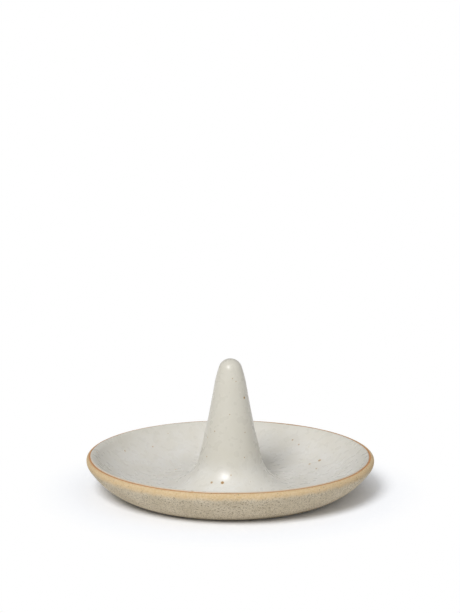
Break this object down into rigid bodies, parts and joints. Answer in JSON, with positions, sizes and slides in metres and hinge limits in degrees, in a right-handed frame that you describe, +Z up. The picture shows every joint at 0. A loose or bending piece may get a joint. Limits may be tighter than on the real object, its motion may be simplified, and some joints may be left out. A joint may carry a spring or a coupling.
{
  "type": "ring dish",
  "caption": "Shallow round stoneware dish with a tall tapered cone in its middle for finger rings; bare clay lip and outside, satin glaze inside.",
  "frame": {"origin": "centre of the foot, on the surface that the dish stands on", "axes": "+Z up along the cone's axis; the dish is round, so X and Y are free"},
  "size_m": [0.12, 0.12, 0.0574],
  "materials": {
    "bare_clay": "unglazed sandy stoneware, toasted tan along the lip",
    "cone_clay": "unglazed sandy stoneware",
    "glaze": "satin off-white with fine ochre and brown specks"
  },
  "bodies": {
    "root": {"dish_body": "bare_clay", "ring_cone": "cone_clay", "glaze_coat": "glaze"}
  },
  "joints": []
}
